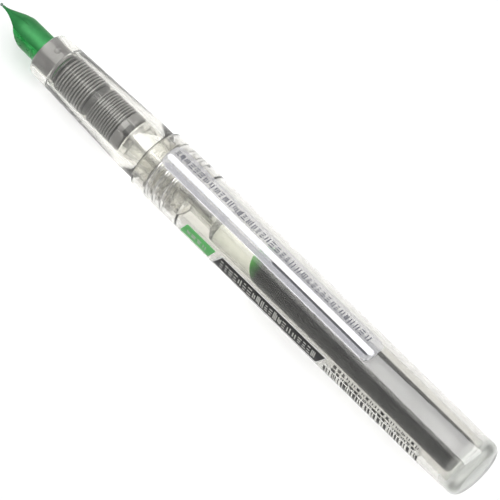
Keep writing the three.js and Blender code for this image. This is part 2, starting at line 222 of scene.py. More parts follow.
def point(distance, radius, turn):
    """A place in the model's frame, from a distance, a radius and a turn in degrees."""
    angle = math.radians(turn)
    across = radius * MM * math.sin(angle)
    up = radius * MM * math.cos(angle)
    return Vector((TIP_X + distance * MM, across, AXIS_Z + up))


def turn_between(turn, other):
    """The smaller turn between two directions, in degrees."""
    return abs((turn - other + 180) % 360 - 180)


def smooth(share):
    """An S-shaped rise from 0 to 1, held outside that."""
    share = min(max(share, 0.0), 1.0)
    return share * share * (3 - 2 * share)


def through(stations, value):
    """The smooth curve through (value, result) stations, level at each end."""
    if value <= stations[0][0]:
        return stations[0][1]
    for index in range(len(stations) - 1):
        (x0, y0), (x1, y1) = stations[index], stations[index + 1]
        if value <= x1:
            before = stations[max(index - 1, 0)]
            after = stations[min(index + 2, len(stations) - 1)]
            slope0 = (y1 - before[1]) / (x1 - before[0])
            slope1 = (after[1] - y0) / (after[0] - x0)
            t = (value - x0) / (x1 - x0)
            width = x1 - x0
            rise = (2 * t**3 - 3 * t**2 + 1) * y0 + (3 * t**2 - 2 * t**3) * y1
            return rise + (t**3 - 2 * t**2 + t) * width * slope0 + (t**3 - t**2) * width * slope1
    return stations[-1][1]


def quarter_round(distance, radius, size, steps=8):
    """Profile points on the quarter circle about a centre, from the widest point to the far end."""
    points = []
    for step in range(steps + 1):
        angle = step / steps * math.pi / 2
        points.append((distance + size * math.sin(angle), radius + size * math.cos(angle)))
    return points


def add_ring(bm, distance, radius, columns, shape):
    """The vertices of a turned piece at one profile point, or one vertex on the axis."""
    if radius == 0:
        return [bm.verts.new(point(distance, 0, 0))] * columns
    ring = []
    for column in range(columns):
        turn = 360 * column / columns
        ring.append(bm.verts.new(point(*shape(distance, radius, turn), turn)))
    return ring


def add_wall(bm, ring, other):
    """Faces between two rings."""
    count = len(ring)
    for column in range(count):
        following = (column + 1) % count
        corners = [ring[column], ring[following], other[following], other[column]]
        unique = list(dict.fromkeys(corners))
        if len(unique) > 2:
            bm.faces.new(unique)


def add_thread(bm, start, end, root, height, ridge_at_top, span, columns):
    """A cylinder wall with a screw ridge on it, whose rows of faces follow the thread."""
    low, high = min(start, end), max(start, end)
    step = THREAD_PITCH / THREAD_ROWS
    first = math.floor((low - ridge_at_top) / step) - 1
    last = math.ceil((high - ridge_at_top) / step) + THREAD_ROWS + 1
    grid = {}

    def vertex(row, column):
        if column == columns:
            row, column = row - THREAD_ROWS, 0
        if (row, column) not in grid:
            distance = ridge_at_top + (row - THREAD_ROWS * column / columns) * step
            from_ridge = min(row % THREAD_ROWS, -row % THREAD_ROWS) * step
            ridge = 1 - smooth((from_ridge - 0.17) / 0.3)
            fade = smooth((distance - span[0]) / 0.8) * smooth((span[1] - distance) / 0.8)
            place = min(max(distance, low), high)
            turn = 360 * column / columns
            grid[row, column] = bm.verts.new(point(place, root + height * ridge * fade, turn))
        return grid[row, column]

    for row in range(first, last):
        for column in range(columns):
            corners = [(row, column), (row, column + 1), (row + 1, column + 1), (row + 1, column)]
            bm.faces.new([vertex(*corner) for corner in corners])


def same(distance, radius, turn):
    """The shape of a piece that is round all over."""
    return distance, radius


def turned(profile, columns=COLUMNS, shape=same, threads=None):
    """A turned piece. It starts and ends on the axis, or closes on itself. threads maps the number of
    a profile point to the screw thread on the wall between that point and the next."""
    bm = bmesh.new()
    rings = [add_ring(bm, distance, radius, columns, shape) for distance, radius in profile]
    if profile[0][1] > 0:
        rings.append(rings[0])
    for index in range(len(rings) - 1):
        thread = (threads or {}).get(index)
        if thread:
            add_thread(bm, profile[index][0], profile[index + 1][0], columns=columns, **thread)
        else:
            add_wall(bm, rings[index], rings[index + 1])
    return bm


def add_plate(bm, start, end, low, high, lift, thickness, ends=None):
    """A thin plate on the barrel, from one turn to another. ends(share) gives the shifts of its start
    and end at a share of the way round."""
    steps = max(1, math.ceil((high - low) / 3))
    rows = []
    for step in range(steps + 1):
        share = step / steps
        turn = low + (high - low) * share
        start_shift, end_shift = ends(share) if ends else (0, 0)
        corners = [(start + start_shift, 0), (end + end_shift, 0)]
        corners += [(distance, thickness) for distance, _ in reversed(corners)]
        rows.append(
            [bm.verts.new(point(d, barrel_radius(d) + lift + up, turn)) for d, up in corners]
        )
    bm.faces.new(rows[0])
    for row, other in zip(rows, rows[1:]):
        add_wall(bm, row, other)
    bm.faces.new(rows[-1][::-1])


def make_piece(name, bm, body, material, nodes=(), bevel=0.0, crease=32):
    """Turns mesh data into a piece of the object that rides on a body."""
    bmesh.ops.remove_doubles(bm, verts=bm.verts, dist=2e-7)
    bmesh.ops.recalc_face_normals(bm, faces=bm.faces)
    mesh = bpy.data.meshes.new(name)
    bm.to_mesh(mesh)
    bm.free()
    mesh.shade_smooth()
    mesh.set_sharp_from_angle(angle=math.radians(crease))
    mesh.materials.append(material)
    piece = bpy.data.objects.new(name, mesh)
    bpy.context.scene.collection.objects.link(piece)
    if bevel:
        rounding = piece.modifiers.new("rounding", "BEVEL")
        rounding.width = bevel * MM
        rounding.segments = 2
        rounding.limit_method = "ANGLE"
        rounding.angle_limit = math.radians(crease)
        rounding.harden_normals = True
    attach(piece, body)
    if nodes:
        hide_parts(*nodes)
    return piece


# --- Materials -----------------------------------------------------------------------------------


def linear(red, green, blue):
    """A colour for a shader from its 0 to 255 screen values."""
    values = []
    for value in (red, green, blue):
        share = value / 255
        values.append(share / 12.92 if share <= 0.04045 else ((share + 0.055) / 1.055) ** 2.4)
    return (*values, 1.0)


def new_material(name):
    """A material with a Principled shader: the material, its nodes, its links and the shader."""
    material = bpy.data.materials.new(name)
    material.use_nodes = True
    tree = material.node_tree
    return material, tree.nodes, tree.links, tree.nodes["Principled BSDF"]


def add_noise(nodes, links, scale):
    """A noise in the piece's own space, with scale in patches for each metre."""
    place = nodes.new("ShaderNodeTexCoord")
    noise = nodes.new("ShaderNodeTexNoise")
    noise.inputs["Scale"].default_value = scale
    noise.inputs["Detail"].default_value = 3.0
    links.new(place.outputs["Object"], noise.inputs["Vector"])
    return noise.outputs["Fac"]


def add_ramp(nodes, links, factor, stops):
    """A colour ramp with (position, colour) stops."""
    ramp = nodes.new("ShaderNodeValToRGB")
    links.new(factor, ramp.inputs["Fac"])
    elements = ramp.color_ramp.elements
    elements[0].position, elements[0].color = stops[0]
    elements[1].position, elements[1].color = stops[-1]
    for position, colour in stops[1:-1]:
        elements.new(position).color = colour
    return ramp.outputs["Color"]


def add_range(nodes, links, value, low, high, from_low=0.3, from_high=0.7):
    """A value spread over a new range."""
    spread = nodes.new("ShaderNodeMapRange")
    spread.inputs["From Min"].default_value = from_low
    spread.inputs["From Max"].default_value = from_high
    spread.inputs["To Min"].default_value = low
    spread.inputs["To Max"].default_value = high
    links.new(value, spread.inputs["Value"])
    return spread.outputs["Result"]


def add_bump(nodes, links, shader, height, strength, distance):
    """A bump, with distance in millimetres."""
    bump = nodes.new("ShaderNodeBump")
    bump.inputs["Strength"].default_value = strength
    bump.inputs["Distance"].default_value = distance * MM
    links.new(height, bump.inputs["Height"])
    links.new(bump.outputs["Normal"], shader.inputs["Normal"])


def add_mottle(material_parts, colour, other, scale):
    """Base colour that drifts between two colours."""
    _, nodes, links, shader = material_parts
    colours = add_ramp(nodes, links, add_noise(nodes, links, scale), [(0.35, colour), (0.65, other)])
    links.new(colours, shader.inputs["Base Color"])


def let_lamps_through(material_parts):
    """Lets the light of lamps pass straight through, as thin clear plastic very nearly does."""
    _, nodes, links, shader = material_parts
    output = nodes["Material Output"]
    path = nodes.new("ShaderNodeLightPath")
    open_shader = nodes.new("ShaderNodeBsdfTransparent")
    mix = nodes.new("ShaderNodeMixShader")
    links.new(path.outputs["Is Shadow Ray"], mix.inputs["Fac"])
    links.new(shader.outputs["BSDF"], mix.inputs[1])
    links.new(open_shader.outputs["BSDF"], mix.inputs[2])
    links.new(mix.outputs["Shader"], output.inputs["Surface"])


def clear_plastic(name, tint, roughness, clearness):
    """Clear moulded plastic with faint flow marks and a little haze, most of it at the pen's tail.
    clearness is the share of the light that isn't scattered."""
    parts = new_material(name)
    material, nodes, links, shader = parts
    shader.inputs["IOR"].default_value = 1.49
    place = nodes.new("ShaderNodeTexCoord")
    split = nodes.new("ShaderNodeSeparateXYZ")
    links.new(place.outputs["Object"], split.inputs["Vector"])
    haze_start, haze_end = TIP_X + HAZE_START * MM, TIP_X + HAZE_END * MM
    tail = add_range(nodes, links, split.outputs["X"], 0, 1, haze_start, haze_end)
    colours = add_ramp(nodes, links, tail, [(0, tint), (1, linear(*TAIL_TINT))])
    links.new(colours, shader.inputs["Base Color"])
    clear = add_range(nodes, links, tail, clearness, TAIL_CLEARNESS, 0, 1)
    links.new(clear, shader.inputs["Transmission Weight"])
    haze = add_range(nodes, links, add_noise(nodes, links, 260), roughness * 0.6, roughness * 1.5)
    links.new(haze, shader.inputs["Roughness"])
    add_bump(nodes, links, shader, add_noise(nodes, links, 180), 0.25, 0.02)
    let_lamps_through(parts)
    return material


def coated_steel():
    """Steel with a satin green coating, which drifts in tone and is scuffed very finely."""
    parts = new_material("coated_steel")
    material, nodes, links, shader = parts
    add_mottle(parts, linear(16, 104, 46), linear(28, 120, 56), 420)
    shader.inputs["Metallic"].default_value = 0.35
    scuffs = add_range(nodes, links, add_noise(nodes, links, 1600), 0.42, 0.58)
    links.new(scuffs, shader.inputs["Roughness"])
    add_bump(nodes, links, shader, add_noise(nodes, links, 1900), 0.12, 0.01)
    return material


def green_plastic():
    """Green moulded plastic that lets some light through."""
    parts = new_material("green_plastic")
    material, nodes, links, shader = parts
    add_mottle(parts, linear(22, 138, 58), linear(44, 160, 78), 500)
    shader.inputs["Transmission Weight"].default_value = 0.35
    shader.inputs["IOR"].default_value = 1.45
    links.new(
        add_range(nodes, links, add_noise(nodes, links, 900), 0.2, 0.4), shader.inputs["Roughness"]
    )
    let_lamps_through(parts)
    return material


def grey_plastic():
    """Grey plastic, darker towards the pen's axis, down in the grooves."""
    material, nodes, links, shader = new_material("grey_plastic")
    place = nodes.new("ShaderNodeTexCoord")
    centre = nodes.new("ShaderNodeVectorMath")
    centre.operation = "SUBTRACT"
    centre.inputs[1].default_value = (0, 0, AXIS_Z)
    flat = nodes.new("ShaderNodeVectorMath")
    flat.operation = "MULTIPLY"
    flat.inputs[1].default_value = (0, 1, 1)
    length = nodes.new("ShaderNodeVectorMath")
    length.operation = "LENGTH"
    links.new(place.outputs["Object"], centre.inputs[0])
    links.new(centre.outputs["Vector"], flat.inputs[0])
    links.new(flat.outputs["Vector"], length.inputs[0])
    # The colour darkens with depth towards the axis, into the grooves between the fins.
    core, rim = DARK_CORE * MM, DARK_RIM * MM
    depth = add_range(nodes, links, length.outputs["Value"], 0, 1, core, rim)
    mottle = add_noise(nodes, links, 700)
    mixed = nodes.new("ShaderNodeMath")
    mixed.operation = "MULTIPLY_ADD"
    mixed.inputs[1].default_value = 0.18
    links.new(mottle, mixed.inputs[0])
    links.new(depth, mixed.inputs[2])
    stops = [(0.08, linear(14, 14, 14)), (0.55, linear(40, 40, 40)), (1, linear(88, 87, 87))]
    links.new(add_ramp(nodes, links, mixed.outputs["Value"], stops), shader.inputs["Base Color"])
    links.new(
        add_range(nodes, links, add_noise(nodes, links, 1200), 0.3, 0.5), shader.inputs["Roughness"]
    )
    add_bump(nodes, links, shader, add_noise(nodes, links, 2400), 0.15, 0.01)
    return material


def sleeve_plastic():
    """Grey plastic with a soft satin skin."""
    parts = new_material("sleeve_plastic")
    material, nodes, links, shader = parts
    add_mottle(parts, linear(70, 69, 70), linear(84, 83, 84), 420)
    links.new(
        add_range(nodes, links, add_noise(nodes, links, 1500), 0.3, 0.48), shader.inputs["Roughness"]
    )
    add_bump(nodes, links, shader, add_noise(nodes, links, 2600), 0.15, 0.01)
    return material


def ink_material():
    """Very dark green ink, lighter and greener where it thins out at its front."""
    material, nodes, links, shader = new_material("dark_green_ink")
    place = nodes.new("ShaderNodeTexCoord")
    split = nodes.new("ShaderNodeSeparateXYZ")
    links.new(place.outputs["Object"], split.inputs["Vector"])
    front = TIP_X + INK_START * MM
    depth = add_range(nodes, links, split.outputs["X"], 0, 1, front, front + INK_THIN_LENGTH * MM)
    wave = nodes.new("ShaderNodeMath")
    wave.operation = "MULTIPLY_ADD"
    wave.inputs[1].default_value = 0.12
    links.new(add_noise(nodes, links, 350), wave.inputs[0])
    links.new(depth, wave.inputs[2])
    stops = [
        (0.06, linear(84, 176, 68)),
        (0.22, linear(40, 110, 36)),
        (0.36, linear(10, 16, 11)),
        (0.8, linear(3, 3, 6)),
    ]
    links.new(add_ramp(nodes, links, wave.outputs["Value"], stops), shader.inputs["Base Color"])
    shader.inputs["Roughness"].default_value = 0.6
    shader.inputs["Specular IOR Level"].default_value = 0.0
    return material


def rod_material():
    """Fibre rod soaked with ink."""
    parts = new_material("soaked_fibre")
    material, nodes, links, shader = parts
    add_mottle(parts, linear(16, 14, 16), linear(40, 36, 38), 800)
    links.new(
        add_range(nodes, links, add_noise(nodes, links, 2000), 0.45, 0.7), shader.inputs["Roughness"]
    )
    return material


def steel(name, colour):
    """Polished steel with fine hairlines."""
    material, nodes, links, shader = new_material(name)
    shader.inputs["Base Color"].default_value = colour
    shader.inputs["Metallic"].default_value = 1.0
    links.new(
        add_range(nodes, links, add_noise(nodes, links, 2500), 0.12, 0.26), shader.inputs["Roughness"]
    )
    return material


def film(name, colour, opacity):
    """A thin printed film with a soft sheen that drifts a little."""
    material, nodes, links, shader = new_material(name)
    shader.inputs["Base Color"].default_value = colour
    if opacity < 1:
        shader.inputs["Alpha"].default_value = opacity
    shader.inputs["Specular IOR Level"].default_value = 0.2
    links.new(
        add_range(nodes, links, add_noise(nodes, links, 900), 0.32, 0.48), shader.inputs["Roughness"]
    )
    return material


# --- The pen's pieces ----------------------------------------------------------------------------


def barrel_radius(distance):
    """The barrel's outer radius along its straight taper."""
    start = BARREL_START + BARREL_CHAMFER
    share = (distance - start) / (BARREL_END - TAIL_ROUND - start)
    return BARREL_RADIUS + (TAIL_RADIUS - BARREL_RADIUS) * share


def make_barrel(plastic):
    """The barrel: a long cup with an inside thread at its mouth."""
    cavity_end = BARREL_END - BARREL_BOTTOM
    cavity_round = TAIL_ROUND - BARREL_WALL / 2
    cavity_radius = TAIL_RADIUS - BARREL_WALL
    nut_end = GRIP_END + NUT_OVERLAP
    inside = quarter_round(cavity_end - cavity_round, cavity_radius - cavity_round, cavity_round)
    bottom = [(cavity_end - 0.12, 0), (cavity_end - 0.1, 0.9), (cavity_end - 0.02, 2.2)]
    mouth_centre = BARREL_START + MOUTH_ROUND
    mouth = [
        (2 * mouth_centre - distance, radius)
        for distance, radius in quarter_round(
            mouth_centre, BARREL_RADIUS - MOUTH_ROUND, MOUTH_ROUND
        )
    ]
    tail = quarter_round(BARREL_END - TAIL_ROUND, TAIL_RADIUS - TAIL_ROUND, TAIL_ROUND, 12)
    profile = [
        *bottom,
        *reversed(inside),
        (nut_end + 0.4, BARREL_RADIUS - BARREL_WALL),
        (nut_end, NUT_BORE),
        (BARREL_START + 0.3, NUT_BORE),
        (BARREL_START, NUT_BORE + 0.2),
        *reversed(mouth),
        *tail,
        (BARREL_END, 0),
    ]
    thread = {
        "root": NUT_BORE,
        "height": NUT_THREAD_HEIGHT,
        "ridge_at_top": THREAD_RIDGE_AT_TOP + THREAD_PITCH / 2,
        "span": (THREAD_START + 0.6, THREAD_START + 7),
    }
    threads = {profile.index((nut_end, NUT_BORE)): thread}
    bm = turned(profile, threads=threads)
    make_piece("barrel_tube", bm, "barrel_body", plastic, ["barrel"])


def make_grip(plastic):
    """The grip: a tapered sleeve with a collar and a threaded tail."""
    profile = [
        (GRIP_START, GRIP_MOUTH + 0.1),
        (GRIP_START, 3.9),
        (GRIP_START + 0.08, 4.15),
        (GRIP_START + 0.3, 4.36),
        (GRIP_START + 0.7, 4.48),
        (GRIP_START + 2.3, 4.6),
        (COLLAR_START - 8, 5.08),
        (COLLAR_START - 1.6, 5.36),
        (COLLAR_START - 0.5, 5.41),
        (COLLAR_START, COLLAR_RADIUS),
        (COLLAR_END - 0.3, COLLAR_RADIUS),
        (COLLAR_END - 0.08, COLLAR_RADIUS - 0.1),
        (COLLAR_END, COLLAR_RADIUS - 0.3),
        (COLLAR_END, THREAD_ROOT),
        (GRIP_END - 0.3, THREAD_ROOT),
        (GRIP_END, THREAD_ROOT - 0.2),
        (GRIP_END, GRIP_BORE),
        (GRIP_BORE_START, GRIP_BORE),
        (GRIP_BORE_START - 0.4, GRIP_BORE - 0.15),
        (GRIP_BORE_START - GRIP_MOUTH_DEPTH, GRIP_MOUTH),
        (GRIP_START + 0.15, GRIP_MOUTH),
    ]
    thread = {
        "root": THREAD_ROOT,
        "height": THREAD_HEIGHT,
        "ridge_at_top": THREAD_RIDGE_AT_TOP,
        "span": (THREAD_START - 0.4, THREAD_END),
    }
    threads = {profile.index((COLLAR_END, THREAD_ROOT)): thread}
    bm = turned(profile, threads=threads)
    make_piece("grip_sleeve", bm, "grip_unit", plastic, ["grip"])


def make_connector(plastic):
    """The clear insert behind the collector, with its flange, tube and nipple."""
    bore = COLLECTOR_BORE
    tube_bore = CONNECTOR_TUBE - CONNECTOR_WALL
    pocket_end = CONNECTOR_TUBE_END - 2
    profile = [
        (CONNECTOR_START, 3.8),
        (CONNECTOR_START + 1.4, 3.8),
        (CONNECTOR_START + 1.4, CONNECTOR_TUBE),
        (CONNECTOR_TUBE_END - 0.8, CONNECTOR_TUBE),
        (CONNECTOR_TUBE_END - 0.2, CONNECTOR_TUBE - 0.3),
        (CONNECTOR_TUBE_END, CONNECTOR_TUBE - 0.8),
        (CONNECTOR_TUBE_END, NIPPLE_RADIUS),
        (NIPPLE_END - 0.6, NIPPLE_RADIUS),
        (NIPPLE_END, bore + 0.15),
        (NIPPLE_END, bore),
        (CONNECTOR_START, bore),
        (CONNECTOR_START, NIPPLE_RADIUS),
        (pocket_end, NIPPLE_RADIUS),
        (pocket_end, tube_bore),
        (CONNECTOR_START, tube_bore),
    ]
    bm = turned(profile)
    make_piece("connector_insert", bm, "grip_unit", plastic, ["connector"], 0.06)


def fin_profile(stack):
    """The profile of a stack of fins."""
    points = []
    for fin in range(stack["fins"]):
        front = stack["start"] + fin * stack["pitch"]
        back = front + stack["thickness"]
        points += [
            (front, COLLECTOR_CORE),
            (front, COLLECTOR_RADIUS - 0.06),
            (front + 0.06, COLLECTOR_RADIUS),
            (back - 0.06, COLLECTOR_RADIUS),
            (back, COLLECTOR_RADIUS - 0.06),
            (back, COLLECTOR_CORE),
        ]
    return points


def collector_shape(distance, radius, turn):
    """Cuts the air slot into the band and a notch into the rear flange."""
    front_end = FRONT_FINS["start"] + FRONT_FINS["fins"] * FRONT_FINS["pitch"]
    in_band = front_end - 0.01 < distance < REAR_FINS["start"] - 0.2
    if in_band and turn_between(turn, SLOT_TURN) < SLOT_HALF_TURN:
        radius = min(radius, COLLECTOR_CORE)
    lip = REAR_FLANGE_START + FLANGE_LIP
    on_flange = distance > lip and radius > COLLECTOR_CORE
    if on_flange and turn_between(turn, NOTCH_TURN) < NOTCH_HALF_TURN:
        distance = max(lip, distance - NOTCH_LENGTH)
        radius = min(radius, COLLECTOR_RADIUS - NOTCH_DEPTH)
    return distance, radius


def make_collector(plastic):
    """The collector: two stacks of fins, a band between them and a flange behind."""
    front_end = FRONT_FINS["start"] + FRONT_FINS["fins"] * FRONT_FINS["pitch"]
    band_end = REAR_FINS["start"] - 0.3
    profile = [
        (COLLECTOR_START, COLLECTOR_BAND - 0.1),
        (COLLECTOR_START + 0.1, COLLECTOR_BAND),
        (COLLECTOR_START + 0.4, COLLECTOR_BAND),
        (COLLECTOR_START + 0.5, COLLECTOR_CORE),
        *fin_profile(FRONT_FINS),
        (front_end, COLLECTOR_CORE),
        (front_end, COLLECTOR_BAND),
        (band_end, COLLECTOR_BAND),
        (band_end, COLLECTOR_CORE),
        *fin_profile(REAR_FINS),
        (REAR_FLANGE_START, COLLECTOR_CORE),
        (REAR_FLANGE_START, COLLECTOR_RADIUS - 0.08),
        (REAR_FLANGE_START + 0.08, COLLECTOR_RADIUS),
        (REAR_FLANGE_START + 1.2, COLLECTOR_RADIUS),
        (COLLECTOR_END - 0.5, COLLECTOR_RADIUS),
        (COLLECTOR_END - 0.15, COLLECTOR_RADIUS - 0.2),
        (COLLECTOR_END, COLLECTOR_RADIUS - 0.5),
        (COLLECTOR_END, COLLECTOR_BORE),
        (COLLECTOR_START, COLLECTOR_BORE),
    ]
    bm = turned(profile, columns=120, shape=collector_shape)
    make_piece("collector_fins", bm, "grip_unit", plastic, ["collector"])


def make_collector_key(plastic):
    """The small key on the collector's front edge, which sets how far round the sleeve sits."""
    bm = bmesh.new()
    angles = [step * 30 for step in range(12)]
    rings = []
    for lift, size in ((0.0, KEY_SIZE), (0.42, KEY_SIZE), (0.52, KEY_SIZE - 0.1)):
        ring = []
        for angle in angles:
            along = COLLECTOR_START + 0.42 + size * 0.75 * math.cos(math.radians(angle))
            turn = KEY_TURN + math.degrees(size * math.sin(math.radians(angle)) / COLLECTOR_BAND)
            ring.append(bm.verts.new(point(along, COLLECTOR_BAND - 0.1 + lift, turn)))
        rings.append(ring)
    bm.faces.new(rings[0])
    for ring, other in zip(rings, rings[1:]):
        add_wall(bm, ring, other)
    bm.faces.new(rings[-1])
    make_piece("collector_key", bm, "grip_unit", plastic, crease=60)


def sleeve_shape(distance, radius, turn):
    """Sinks a round dimple into the sleeve's outside."""
    across = math.radians((turn - NIB_LEAN + 180) % 360 - 180) * SLEEVE_RADIUS
    from_dimple = math.hypot(distance - DIMPLE_DISTANCE, across) / DIMPLE_RADIUS
    if radius > SLEEVE_BORE:
        rim = 0.06 * smooth((1.35 - from_dimple) / 0.2) * smooth((from_dimple - 0.95) / 0.15)
        radius += rim - 0.2 * (1 - smooth((from_dimple - 0.45) / 0.5))
    return distance, radius


def make_sleeve(plastic):
    """The ring that clamps the nib on the feed, with a small round dimple."""
    rows = 40
    outside = [
        (SLEEVE_START + 0.12 + (SLEEVE_END - SLEEVE_START - 0.2) * row / rows, SLEEVE_RADIUS)
        for row in range(rows + 1)
    ]
    profile = [
        (SLEEVE_START, SLEEVE_RADIUS - 0.12),
        (SLEEVE_START + 0.04, SLEEVE_RADIUS - 0.04),
        *outside,
        (SLEEVE_END, SLEEVE_RADIUS - 0.08),
        (SLEEVE_END, SLEEVE_BORE),
        (SLEEVE_START, SLEEVE_BORE),
    ]
    bm = turned(profile, columns=180, shape=sleeve_shape)
    make_piece("sleeve_ring", bm, "grip_unit", plastic, ["nib_sleeve"])


def nib_radius(distance):
    """The nib's outer radius, which grows from the point to the shoulders."""
    share = (distance - NIB_START) / (NIB_SHOULDER - NIB_START)
    return NIB_TIP_RADIUS + (NIB_RADIUS - NIB_TIP_RADIUS) * smooth(share)


def nib_half_width(distance):
    """Half of the nib's width: hollow flanks, round shoulders and straight sides."""
    stations = [
        (NIB_START, 0.22),
        (1.6, 0.33),
        (2.8, 0.72),
        (3.9, 1.2),
        (5.0, 1.75),
        (5.8, 2.02),
        (6.8, 2.12),
        (NIB_END, 2.12),
    ]
    return through(stations, distance)


def make_nib(metal):
    """The nib: a bent plate, slit from its point to behind the shoulders."""
    bm = bmesh.new()
    across = 14
    fine = [NIB_START + (NIB_SHOULDER - NIB_START) * (step / 40) for step in range(41)]
    coarse = [SLIT_END, 9, 10.5, 12, 14, NIB_END]
    stations = fine + coarse
    for side in (-1, 1):
        rows = []
        for distance in stations:
            outer = nib_radius(distance)
            edge = nib_half_width(distance)
            slit = SLIT_WIDTH / 2 if distance < SLIT_END else 0
            row = {"outer": [], "inner": []}
            for column in range(across + 1):
                width = slit + (edge - slit) * column / across
                turn = NIB_LEAN + side * math.degrees(math.asin(width / outer))
                row["outer"].append(bm.verts.new(point(distance, outer, turn)))
                row["inner"].append(bm.verts.new(point(distance, outer - NIB_PLATE, turn)))
            rows.append(row)
        for index, (row, other) in enumerate(zip(rows, rows[1:])):
            for layer in ("outer", "inner"):
                for column in range(across):
                    corners = [row[layer][column], row[layer][column + 1]]
                    corners += [other[layer][column + 1], other[layer][column]]
                    bm.faces.new(corners)
            for column in (0, across):
                if column or stations[index] < SLIT_END:
                    corners = [row["outer"][column], other["outer"][column]]
                    corners += [other["inner"][column], row["inner"][column]]
                    bm.faces.new(corners)
        for row in (rows[0], rows[-1]):
            for column in range(across):
                corners = [row["outer"][column], row["outer"][column + 1]]
                corners += [row["inner"][column + 1], row["inner"][column]]
                bm.faces.new(corners)
    make_piece("nib_plate", bm, "grip_unit", metal, ["nib"], 0.04, 50)


def feed_floor(distance):
    """How far below the axis the feed's underside is, negative when it is above."""
    stations = [(FEED_START, -1.8), (6.1, -1.15), (7.3, 0.0), (8.3, 1.3), (9.1, 2.2), (10, 2.85)]
    return through(stations, distance)


def feed_outline(distance, turn):
    """A point across the feed, as (sideways, up), for a turn from the nib's middle."""
    upper = nib_radius(distance) - NIB_PLATE - FEED_GAP
    lower = min(FEED_RADIUS, upper + FEED_LEDGE)
    from_top = turn_between(turn, 0)
    radius = upper + (lower - upper) * smooth((from_top - FEED_LEDGE_TURN) / 4)
    floor = -feed_floor(distance)
    sideways = radius * math.sin(math.radians(turn))
    up = radius * math.cos(math.radians(turn))
    if up < floor:
        limit = math.degrees(math.acos(max(min(floor / radius, 1), -1)))
        edge = math.sqrt(max(radius**2 - floor**2, 0))
        share = (180 - from_top) / (180 - limit)
        sideways = math.copysign(edge * share, sideways)
        up = floor
    return sideways, up


def make_feed(plastic):
    """The feed: a block with a slanted underside."""
    bm = bmesh.new()
    columns = 96
    nose = [FEED_START + NOSE_STEP * step for step in range(NOSE_STEPS)]
    stations = nose + [10, 12, 14, FEED_END]
    lean = math.radians(NIB_LEAN)
    rings = []
    for distance in stations:
        ring = []
        for column in range(columns):
            sideways, up = feed_outline(distance, 360 * column / columns)
            radius = math.hypot(sideways, up)
            turn = math.degrees(math.atan2(sideways, up) + lean)
            ring.append(bm.verts.new(point(distance, radius, turn)))
        rings.append(ring)
    bm.faces.new(rings[0])
    for ring, other in zip(rings, rings[1:]):
        add_wall(bm, ring, other)
    bm.faces.new(rings[-1])
    make_piece("feed_block", bm, "grip_unit", plastic, ["feed"])


def make_rod(fibre):
    """The rod that carries ink along the pen's axis."""
    start, end = start_of("ink_rod"), end_of("ink_rod")
    profile = [
        (start, 0),
        (start, ROD_RADIUS - 0.2),
        (start + 0.2, ROD_RADIUS),
        (end - 0.2, ROD_RADIUS),
        (end, ROD_RADIUS - 0.2),
        (end, 0),
    ]
    make_piece("rod_fibre", turned(profile, 48), "core", fibre, ["ink_rod"])


def make_cartridge(plastic):
    """The cartridge: a bottle with a neck and a round end."""
    inner = CARTRIDGE_RADIUS - CARTRIDGE_WALL
    inner_round = CARTRIDGE_ROUND - CARTRIDGE_WALL
    inner_end = CARTRIDGE_END - 2 * CARTRIDGE_WALL
    inside = quarter_round(inner_end - inner_round, inner - inner_round, inner_round)
    outside = quarter_round(
        CARTRIDGE_END - CARTRIDGE_ROUND, CARTRIDGE_RADIUS - CARTRIDGE_ROUND, CARTRIDGE_ROUND, 12
    )
    profile = [
        (inner_end, 0),
        *reversed(inside),
        (CARTRIDGE_SHOULDER + 2.0, inner),
        (CARTRIDGE_SHOULDER + 1.3, inner - 0.5),
        (CARTRIDGE_SHOULDER + 0.7, CARTRIDGE_BORE),
        (CARTRIDGE_START, CARTRIDGE_BORE),
        (CARTRIDGE_START, CARTRIDGE_NECK - 0.1),
        (CARTRIDGE_START + 0.1, CARTRIDGE_NECK),
        (CARTRIDGE_SHOULDER, CARTRIDGE_NECK),
        (CARTRIDGE_SHOULDER + 0.5, CARTRIDGE_NECK + 0.25),
        (CARTRIDGE_SHOULDER + 1.1, CARTRIDGE_RADIUS - 0.3),
        (CARTRIDGE_SHOULDER + 1.5, CARTRIDGE_RADIUS - 0.05),
        (CARTRIDGE_SHOULDER + 1.9, CARTRIDGE_RADIUS),
        *outside,
        (CARTRIDGE_END, 0),
    ]
    bm = turned(profile)
    make_piece("cartridge_bottle", bm, "cartridge_body", plastic, ["cartridge"])


def ink_shape(distance, radius, turn):
    """Slopes the ink's front back from the top to the bottom, with a rounded edge."""
    height = radius * math.cos(math.radians(turn))
    near = 1 - smooth((distance - INK_START) / 3)
    slope = INK_FRONT_SLOPE * (INK_RADIUS - height) / (2 * INK_RADIUS)
    return distance + slope * near, radius


def make_ink(ink):
    """The ink, with a sloping front and a round end. It runs to just short of the cartridge's end."""
    front = [(INK_START + 0.25, 0), (INK_START + 0.2, 1.2), (INK_START + 0.12, 2.2)]
    front += [(INK_START, INK_RADIUS - 0.25), (INK_START - 0.05, INK_RADIUS)]
    back = quarter_round(INK_END - 1.1, INK_RADIUS - 1.1, 1.1)
    profile = front + [(INK_START + 3, INK_RADIUS), *back, (INK_END, 0)]
    bm = turned(profile, shape=ink_shape)
    make_piece("ink_plug", bm, "cartridge_body", ink, ["ink_charge"])


def make_ball(metal):
    """The ball that sealed the cartridge's neck, now loose in the air space."""
    low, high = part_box("cartridge_ball")
    bm = bmesh.new()
    bmesh.ops.create_uvsphere(bm, u_segments=48, v_segments=24, radius=BALL_RADIUS * MM)
    bmesh.ops.translate(bm, verts=bm.verts, vec=(low + high) / 2)
    make_piece("sealing_ball", bm, "ball_body", metal, ["cartridge_ball"], crease=60)


# --- Labels --------------------------------------------------------------------------------------


